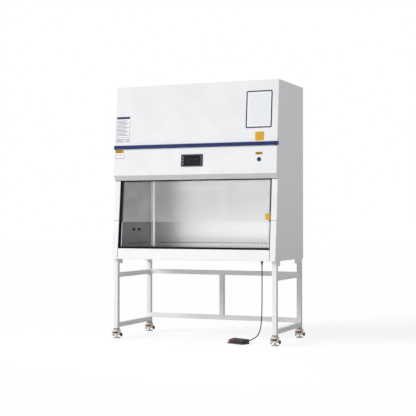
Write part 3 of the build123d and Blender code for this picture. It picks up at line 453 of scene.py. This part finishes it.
def plate(name, width, height, thick, corner=2 * MM, edge=0.0):
    """A flat plate in the XZ plane, centred on the origin, its back at y = 0 and its face towards -Y."""
    deselect()
    bpy.ops.mesh.primitive_plane_add(size=1, rotation=(math.radians(90), 0, 0))
    piece = bpy.context.object
    piece.name = name
    bpy.ops.object.mode_set(mode="EDIT")
    bpy.ops.mesh.select_all(action="SELECT")
    bpy.ops.transform.resize(value=(width, 1, height))
    bpy.ops.mesh.bevel(offset=corner, segments=5, affect="VERTICES")
    bpy.ops.mesh.extrude_region_move(TRANSFORM_OT_translate={"value": (0, -thick, 0)})
    if edge:
        bpy.ops.mesh.bevel(offset=edge, segments=2, affect="EDGES")
    bpy.ops.mesh.select_all(action="SELECT")
    bpy.ops.mesh.normals_make_consistent(inside=False)
    bpy.ops.object.mode_set(mode="OBJECT")
    return settle(piece)


def stick_on_panel(piece, x, z, proud=0.0):
    """Lean a plate onto the face above the lip, at height z."""
    piece.rotation_euler = (-PANEL_LEAN, 0, 0)
    piece.location = (x, panel_y(z) - proud * math.cos(PANEL_LEAN), z + proud * math.sin(PANEL_LEAN))
    return settle(piece)


def stick_on_post_plane(piece, x, z, behind=0.0):
    """Lean a plate onto the plane of the posts, or a little way behind it."""
    piece.rotation_euler = (-POST_LEAN, 0, 0)
    piece.location = (x, post_y(z) + behind, z)
    return settle(piece)


def give(piece, material, body):
    """Finish and body of a new piece."""
    piece.data.materials.clear()
    piece.data.materials.append(material)
    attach(piece, body)
    return piece


print("a label is", LABEL_THICK / MM, "mm thick")

# %% [markdown]
# Labels are printed polyester film: an even ink layer under a satin laminate.  They carry no words
# and no signs.  The yellow ones are bare, and on the others plain rules stand where lines of text go.

# %% Label films
def film(name, dark, light, shine=0.3):
    """Printed polyester label: even ink, satin laminate, faint waviness from the glue."""
    material, shader = begin_material(name)
    drift = grain(material, 30.0)
    link(material, two_tones(material, drift, dark, light).outputs["Color"], shader.inputs["Base Color"])
    roughness_between(material, shader, drift, shine, shine + 0.08)
    bump(material, shader, grain(material, 12.0), 0.03, 0.2)
    shader.inputs["IOR"].default_value = 1.58
    shader.inputs["Specular IOR Level"].default_value = 0.25
    return material


film_yellow = film("label_film_yellow", "#D6A01A", "#DEA824")
film_amber = film("label_film_amber", "#C8920F", "#D09A17")
film_white = film("label_film_white", "#F3F4F5", "#FAFAFA")
film_pale = film("label_film_pale_grey", "#D9DBE0", "#E2E4E8")
film_ruled = film("label_film_rules", "#7C808C", "#888C98")
film_sheet = film("card_stock_pale", "#E9EBEE", "#ECEEF1", 0.5)
film_ink = film("label_film_ink", "#3A2C14", "#463619")
film_navy = film("label_film_navy", "#10163C", "#161D48")
print("films", film_yellow.name, film_white.name)

# %% [markdown]
# The panel's labels: an amber and an outlined white one at the left under the strip, a tall white card
# with a navy head and ruled lines above it, and at the right a yellow square and a small amber bar.
# A thin mark on each post shows the right height of the sash, and a plain yellow plate is on the glass.

# %% Labels on the face
def panel_label(name, x0, x1, z0, z1, material, body, corner_mm=3.0, layer=0):
    """Plain label between two heights and two sides on the face above the lip."""
    label = plate(name, x1 - x0, z1 - z0, LABEL_THICK, corner_mm * MM)
    stick_on_panel(label, (x0 + x1) / 2, (z0 + z1) / 2, layer * LABEL_THICK)
    return give(label, material, body)


MARK_HEIGHT = 1.024
for side, sign in BOTH_SIDES:
    mark = plate(f"height_mark_{side}", 0.048, 3.2 * MM, LABEL_THICK, 0.5 * MM)
    give(stick_on_post_plane(mark, sign * 0.7245, MARK_HEIGHT), film_amber, "cabinet")
sash_plate = plate("sash_label_yellow", 0.048, 0.052, LABEL_THICK, 5 * MM)
give(stick_on_post_plane(sash_plate, 0.6705, 1.056, GLASS_SETBACK), film_yellow, "sash")

# Name, left and right side, foot and head, film, body, corner in millimetres, layer.
LABELS = (
    ("label_square_yellow", 0.556, 0.634, 1.684, 1.758, film_yellow, "cabinet", 8, 0),
    ("label_bar_amber_right", 0.563, 0.626, 1.567, 1.590, film_amber, "front_door", 2, 0),
    ("label_bar_amber_left", -0.744, -0.663, 1.610, 1.639, film_amber, "front_door", 3, 0),
    ("label_outline_left", -0.741, -0.650, 1.563, 1.593, film_ruled, "front_door", 5, 0),
    ("label_blank_left", -0.7385, -0.6525, 1.5670, 1.5905, film_white, "front_door", 4, 1),
    ("label_card_rim", -0.742, -0.611, 1.746, 1.908, film_ruled, "cabinet", 4, 0),
    ("label_card", -0.7395, -0.6135, 1.7485, 1.908, film_white, "cabinet", 3, 1),
    ("label_card_head", -0.740, -0.613, 1.909, 1.928, film_navy, "cabinet", 2, 1),
    ("label_card_foot", -0.742, -0.606, 1.703, 1.738, film_pale, "cabinet", 3, 0),
)
for row in LABELS:
    panel_label(*row)
print("labels", len(LABELS) + 3)

# %% [markdown]
# Plain rules stand for the lines of text: twelve of three lengths on the tall card, three with a short
# note beside them on its foot, and two on each amber bar.  They lie one film higher than their label.

# %% Rules on the labels
RULE_LEFT = -0.734
RULE_LENGTHS = (0.112, 0.086, 0.100)
RULES = 12
for index in range(RULES):
    rule_z = 1.761 + index * 0.0118
    panel_label(f"label_card_rule_{index:02d}", RULE_LEFT, RULE_LEFT + RULE_LENGTHS[index % 3],
                rule_z, rule_z + 0.0045, film_ruled, "cabinet", 0.5, 2)
FOOT_RULE_ENDS = (-0.668, -0.690, -0.655)
for index, rule_end in enumerate(FOOT_RULE_ENDS):
    low, high = 1.7085 + index * 0.0095, 1.7120 + index * 0.0095
    panel_label(f"label_foot_rule_{index}", -0.738, rule_end, low, high, film_ruled, "cabinet", 0.5, 1)
    panel_label(f"label_foot_note_{index}", -0.640, -0.612, low, high, film_ruled, "cabinet", 0.5, 1)
BAR_RULES = ((-0.735, -0.672, 1.6285), (-0.735, -0.686, 1.6175),
             (0.569, 0.620, 1.5805), (0.569, 0.606, 1.5725))
for index, (x0, x1, rule_z) in enumerate(BAR_RULES):
    panel_label(f"label_bar_rule_{index}", x0, x1, rule_z, rule_z + 0.004, film_ink, "front_door", 0.5, 1)

# %% [markdown]
# Soft black seals close the gaps round the working opening.  One lies behind the foot of the lip and
# wipes the glass, and a thin one fills the joint between the apron and each post.  A black bar along
# the apron's top edge is painted shade: it stands for the dark band of the shaded work surface seen
# edge-on under the lip.  Each is a bar, resized and rounded in edit mode.  A short black film at the
# head of each post is a painted shadow of the lip above it.  The pane's side edges carry a fired black
# enamel border, which hides the belts and guides, and a white trim covers each chamber wall's front edge.

# %% Seals round the opening
def bar(name, x0, x1, y0, y1, z0, z1, round_mm):
    """A bar along X between two corners, with its long edges rounded."""
    deselect()
    bpy.ops.mesh.primitive_cube_add(size=1, location=((x0 + x1) / 2, (y0 + y1) / 2, (z0 + z1) / 2))
    piece = bpy.context.object
    piece.name = name
    bpy.ops.object.mode_set(mode="EDIT")
    bpy.ops.mesh.select_all(action="SELECT")
    bpy.ops.transform.resize(value=(x1 - x0, y1 - y0, z1 - z0))
    bpy.ops.mesh.bevel(offset=round_mm * MM, segments=3, affect="EDGES")
    bpy.ops.object.mode_set(mode="OBJECT")
    return settle(piece)


give(bar("lip_seal", -0.688, 0.688, -0.3036, -0.2966, 1.3605, 1.3760, 2.0), gasket_and_shade_black, "front_door")
# The apron's black bar is painted shade of the work surface under the lip.
APRON_TOP = 0.7821
APRON_SHADE_HIGH = 0.0165
apron_front = post_y(APRON_TOP)
give(bar("apron_painted_shade", -0.697, 0.697, apron_front + 0.001, apron_front + 0.010,
         APRON_TOP, APRON_TOP + APRON_SHADE_HIGH, 2.0), gasket_and_shade_black, "cabinet")
BORDER_INNER = {"left": 0.672, "right": 0.684}
BORDER_OUTER = 0.7095
border_low, border_high = SASH_FOOT + 0.0005, POST_TOP + 0.030
for side, sign in BOTH_SIDES:
    joint = plate(f"apron_joint_{side}", 3.6 * MM, 0.078, LABEL_THICK, 1.2 * MM)
    give(stick_on_post_plane(joint, sign * 0.6993, 0.7345), gasket_and_shade_black, "cabinet")
    # At the head of each post a thin black film is a painted shadow of the lip.
    lip_shadow_film = plate(f"post_head_painted_shadow_{side}", 0.0495, 4.0 * MM, LABEL_THICK, 1.0 * MM)
    give(stick_on_post_plane(lip_shadow_film, sign * POST_MIDDLE, 1.3672), gasket_and_shade_black, "cabinet")
    trim = plate(f"wall_edge_trim_{side}", 6.0 * MM, 0.600, LABEL_THICK, 1.0 * MM)
    give(stick_on_post_plane(trim, sign * 0.6800, 1.0950, 0.0259), film_white, "cabinet")
    border = plate(f"sash_border_{side}", BORDER_OUTER - BORDER_INNER[side],
                   (border_high - border_low) / math.cos(POST_LEAN), 0.3 * MM, 1.0 * MM)
    border_middle = sign * (BORDER_INNER[side] + BORDER_OUTER) / 2
    give(stick_on_post_plane(border, border_middle, (border_low + border_high) / 2, GLASS_SETBACK),
         border_enamel, "sash")

# %% [markdown]
# Behind the rows of exhaust slots at the foot of the chamber walls sits a thin black sheet of painted
# shade, standing for the dark inside the slots.  It is what makes the slots read as a dashed line.

# %% Painted shade behind the slots
SLOT_ROW = 0.824
SLOT_SHADE_HALF_HIGH = 0.012
SLOT_SHADE_NEAR, SLOT_SHADE_FAR = 0.0025, 0.0040
slot_shade_low, slot_shade_high = SLOT_ROW - SLOT_SHADE_HALF_HIGH, SLOT_ROW + SLOT_SHADE_HALF_HIGH
rear_slot_shade = bar("slot_screen_rear", -0.615, 0.615, CHAMBER_BACK + SLOT_SHADE_NEAR,
                  CHAMBER_BACK + SLOT_SHADE_FAR, slot_shade_low, slot_shade_high, 0.3)
give(rear_slot_shade, gasket_and_shade_black, "cabinet")
for side, sign in BOTH_SIDES:
    near, far = sorted((sign * (CHAMBER_SIDE + SLOT_SHADE_NEAR), sign * (CHAMBER_SIDE + SLOT_SHADE_FAR)))
    side_slot_shade = bar(f"slot_screen_{side}", near, far, -0.222, 0.174, slot_shade_low, slot_shade_high, 0.3)
    give(side_slot_shade, gasket_and_shade_black, "cabinet")

# %% [markdown]
# The card inside the blue frame at the right is a pale sheet with a white margin.

# %% Card in the document frame
CARD_X, CARD_Z = 0.583, 1.9455
MARGIN_THICK = 0.6 * MM
card_margin = plate("document_card_margin", 0.209, 0.292, MARGIN_THICK, 4 * MM)
give(stick_on_panel(card_margin, CARD_X, CARD_Z), film_white, "cabinet")
card_sheet = plate("document_card_sheet", 0.186, 0.268, 0.4 * MM, 2 * MM)
give(stick_on_panel(card_sheet, CARD_X, CARD_Z, MARGIN_THICK), film_sheet, "cabinet")
print("card", card_sheet.name)

# %% [markdown]
# The display shows two plain readings in amber over dark glass, each with a bar under it, and three
# touch keys are let into the wide left side of its surround.  Text is a curve at first, so it is made a
# mesh before its place is applied.

# %% Display picture
SCREEN_PROUD = 4.05 * MM
BEZEL_PROUD = 5.0 * MM
SCREEN_X = -0.0055
SCREEN_Z = 1.532
READING_OFFSET = 0.034
KEY_COLUMN_X = -0.0925
KEY_PITCH = 0.026


def readout(name, words, x, z, size, material):
    """A plain number on the glass: text made a mesh, stood upright and leaned back."""
    deselect()
    bpy.ops.object.text_add()
    piece = bpy.context.object
    piece.name = name
    piece.data.body = words
    piece.data.size = size
    piece.data.extrude = 0.04 * MM
    piece.data.align_x = "CENTER"
    piece.data.align_y = "CENTER"
    bpy.ops.object.convert(target="MESH")
    piece.rotation_euler = (math.radians(90), 0, 0)
    settle(piece)
    return give(stick_on_panel(piece, x, z, SCREEN_PROUD), material, "front_door")


amber_segments = lit(moulded("display_segments_amber", "#3C2412", "#4A2E18", 0.4, gloss=0.2), "#B8742A", 0.06)
key_print = moulded("touch_key_grey", "#8D96A3", "#9AA3B0", 0.4)
for side, sign, words in (("left", -1, "0.35"), ("right", 1, "0.52")):
    reading_x = SCREEN_X + sign * READING_OFFSET
    readout(f"display_reading_{side}", words, reading_x, SCREEN_Z + 0.008, 0.029, amber_segments)
    line = plate(f"display_bar_{side}", 0.050, 0.004, 0.05 * MM, 0.5 * MM)
    give(stick_on_panel(line, reading_x, SCREEN_Z - 0.020, SCREEN_PROUD), amber_segments, "front_door")
for index in range(3):
    key = plate(f"display_key_{index}", 0.009, 0.009, 0.5 * MM, 4.2 * MM)
    give(stick_on_panel(key, KEY_COLUMN_X, SCREEN_Z + (index - 1) * KEY_PITCH, BEZEL_PROUD),
         key_print, "front_door")

# %% [markdown]
# The back and roof sheets are held by pan-head screws.  One screw is modelled: a short cylinder whose
# top is drawn in to a low dome, then inset and pushed down for the socket.  Copies of it go all round.

# %% Screws
def select_faces(piece, test):
    """Go to edit mode with the faces selected whose centre and normal pass a test."""
    deselect()
    piece.select_set(True)
    bpy.context.view_layer.objects.active = piece
    bpy.ops.object.mode_set(mode="EDIT")
    bpy.ops.mesh.select_all(action="DESELECT")
    bpy.ops.mesh.select_mode(type="FACE")
    bpy.ops.object.mode_set(mode="OBJECT")
    for face in piece.data.polygons:
        face.select = test(face.center, face.normal)
    bpy.ops.object.mode_set(mode="EDIT")


def screw_model():
    """Pan-head screw, head up, seated at z = 0."""
    deselect()
    bpy.ops.mesh.primitive_cylinder_add(vertices=18, radius=4.2 * MM, depth=1.2 * MM, location=(0, 0, 0.6 * MM))
    model = bpy.context.object
    select_faces(model, lambda centre, normal: normal.z > 0.9)
    bpy.ops.mesh.extrude_region_move(TRANSFORM_OT_translate={"value": (0, 0, 0.7 * MM)})
    bpy.ops.transform.resize(value=(0.74, 0.74, 1))
    bpy.ops.mesh.inset(thickness=1.2 * MM)
    bpy.ops.mesh.extrude_region_move(TRANSFORM_OT_translate={"value": (0, 0, -1.1 * MM)})
    return settle(model)


def copies(name, model, places, turn, material, body):
    """Copies of a small piece at many places, all turned the same way, joined into one piece."""
    group = []
    for place in places:
        copy = model.copy()
        copy.data = model.data.copy()
        bpy.context.scene.collection.objects.link(copy)
        copy.location = place
        copy.rotation_euler = turn
        group.append(settle(copy))
    deselect()
    for copy in group:
        copy.select_set(True)
    bpy.context.view_layer.objects.active = group[0]
    bpy.ops.object.join()
    joined = bpy.context.object
    joined.name = name
    return give(joined, material, body)


def spaced(first, last, count):
    """Evenly spaced values from first to last."""
    return [first + (last - first) * index / (count - 1) for index in range(count)]


screw = screw_model()
EDGE_IN = 0.013
rear_places = [(sign * (SIDE - EDGE_IN), BACK, z) for sign in (-1, 1) for z in spaced(0.73, 2.15, 8)]
rear_places += [(x, BACK, z) for x in spaced(-0.55, 0.55, 6) for z in (CABINET_BASE + EDGE_IN, TOP - EDGE_IN)]
copies("rear_panel_screws", screw, rear_places, (math.radians(-90), 0, 0), zinc_plate, "cabinet")
roof_places = [(x, y, TOP) for x in spaced(-0.70, 0.70, 7) for y in (-0.245, BACK - EDGE_IN)]
roof_places += [(sign * (SIDE - EDGE_IN), y, TOP) for sign in (-1, 1) for y in (-0.10, 0.06, 0.22)]
roof_places += [(x, y, TOP) for x in spaced(-0.24, 0.24, 4) for y in (-0.018, 0.318)]
copies("roof_screws", screw, roof_places, (0, 0, 0), zinc_plate, "cabinet")
bpy.data.objects.remove(screw)
print("screws", len(rear_places) + len(roof_places))

# %% [markdown]
# High on the back are the mains inlet and a bare type plate.  The inlet is a flanged block: its face is
# inset and pushed in to make the socket, and three flat pins stand inside.

# %% Mains inlet and type plate
SOCKET_DEPTH = 14 * MM
inlet = bar("mains_inlet", -0.686, -0.626, BACK, BACK + 0.0035, 2.055, 2.093, 1.2)
select_faces(inlet, lambda centre, normal: normal.y > 0.999)
bpy.ops.mesh.inset(thickness=6.5 * MM)
bpy.ops.mesh.extrude_region_move(TRANSFORM_OT_translate={"value": (0, -SOCKET_DEPTH, 0)})
bpy.ops.object.mode_set(mode="OBJECT")
give(inlet, black_abs, "cabinet")
PIN_PLACES = ((-0.663, 2.071), (-0.649, 2.071), (-0.656, 2.078))
for index, (x, z) in enumerate(PIN_PLACES):
    pin = bar(f"mains_pin_{index}", x - 0.001, x + 0.001, BACK - 0.012, BACK - 0.001,
              z - 0.002, z + 0.002, 0.4)
    give(pin, zinc_plate, "cabinet")
plate_alloy = plain_metal("anodised_aluminium_plate", "#B9BBBE", "#C4C6C9", 0.35, 20.0)
give(bar("type_plate_blank", -0.56, -0.44, BACK, BACK + 0.0008, 2.040, 2.108, 0.3), plate_alloy, "cabinet")
print("inlet", [round(v, 3) for v in inlet.dimensions])

# %% [markdown]
# Each pedal of the foot switch has four rubber ribs across it, so that a shoe doesn't slide off.  They
# are bars in the switch's own straight frame, then turned and moved to where it lies on the floor.

# %% Pedal ribs
SWITCH_AT = (0.398, -0.2926, 0)
SWITCH_ANGLE = math.radians(-21)
rib_rubber = moulded("rubber_rib_dark", "#15171A", "#1E2124", 0.7)
RIB_INNER, RIB_OUTER = 0.014, 0.074
RIB_LINES_MM = ((-24.0, 31.4), (-14.0, 33.6), (-4.0, 35.7), (6.0, 37.6))
for side, sign, body in (("left", -1, "left_pedal"), ("right", 1, "right_pedal")):
    for index, (y, z) in enumerate(RIB_LINES_MM):
        near, far = sorted((sign * RIB_INNER, sign * RIB_OUTER))
        rib = bar(f"pedal_rib_{side}_{index}", near, far, (y - 1.8) * MM, (y + 1.8) * MM,
                  (z - 1.0) * MM, (z + 1.2) * MM, 0.8)
        rib.rotation_euler = (0, 0, SWITCH_ANGLE)
        rib.location = SWITCH_AT
        give(settle(rib), rib_rubber, body)
print("ribs", 2 * len(RIB_LINES_MM))

# %% [markdown]
# The foot switch cable is a soft round lead.  It drops from its gland by its own weight, then sweeps
# into the foot switch.  Its line is a smooth spline through the air with the route's points as control
# points: a real lead has no corners.  The bevel gives it its thickness.

# %% Foot switch cable
CABLE_DIAMETER = 8.5 * MM
CABLE_ROUTE_MM = [
    (569.8, -189.0, 650.0), (570.2, -188.7, 556.0), (570.2, -188.6, 460.0), (569.8, -188.7, 362.0),
    (568.7, -189.0, 265.0), (565.5, -189.8, 184.0), (558.5, -191.5, 124.0), (545.0, -195.5, 80.0),
    (526.0, -202.0, 54.0), (504.0, -213.0, 38.0), (489.0, -231.0, 29.0), (480.0, -252.0, 24.0),
]
cable_curve = bpy.data.curves.new("footswitch_lead", "CURVE")
cable_curve.dimensions = "3D"
cable_curve.bevel_depth = CABLE_DIAMETER / 2
cable_curve.bevel_resolution = 6
cable_curve.resolution_u = 24
cable_curve.use_fill_caps = True
spline = cable_curve.splines.new("NURBS")
spline.points.add(len(CABLE_ROUTE_MM) - 1)
for point, place in zip(spline.points, CABLE_ROUTE_MM):
    point.co = (*[value * MM for value in place], 1)
spline.order_u = 3
spline.use_endpoint_u = True
cable = bpy.data.objects.new("footswitch_lead", cable_curve)
bpy.context.scene.collection.objects.link(cable)
cable.data.materials.append(cable_rubber)
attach(cable, "cabinet")
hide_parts("footswitch_cable")
print("cable points", len(CABLE_ROUTE_MM))

# %% [markdown]
# The floor is a plain pale sheet that keeps the cabinet's soft shadow.  To the camera part of its
# brightness is its own, so that it melts into the white backdrop while the shadow stays.

# %% Floor
floor_material = bpy.data.materials.new("studio_floor_paper")
floor_material.use_nodes = True
floor_material.node_tree.nodes.clear()
paper = add_node(floor_material, "ShaderNodeBsdfDiffuse", {"Color": colour("#BEBEBE")})
GLOW_SHARE = 0.5
GLOW_STRENGTH = 1.54
glow = add_node(floor_material, "ShaderNodeEmission", {"Color": (1, 1, 1, 1), "Strength": GLOW_STRENGTH})
floor_rays = add_node(floor_material, "ShaderNodeLightPath")
share = add_node(floor_material, "ShaderNodeMath", {0: floor_rays.outputs["Is Camera Ray"], 1: GLOW_SHARE},
                 operation="MULTIPLY")
mixed_floor = add_node(floor_material, "ShaderNodeMixShader",
                       {0: share.outputs[0], 1: paper.outputs[0], 2: glow.outputs[0]})
add_node(floor_material, "ShaderNodeOutputMaterial", {"Surface": mixed_floor.outputs[0]})

bpy.ops.object.select_all(action="DESELECT")
bpy.ops.mesh.primitive_plane_add(size=60, location=(0, 0, 0))
floor = bpy.context.object
floor.name = "studio_floor"
floor.data.materials.append(floor_material)
print("floor", floor.name)
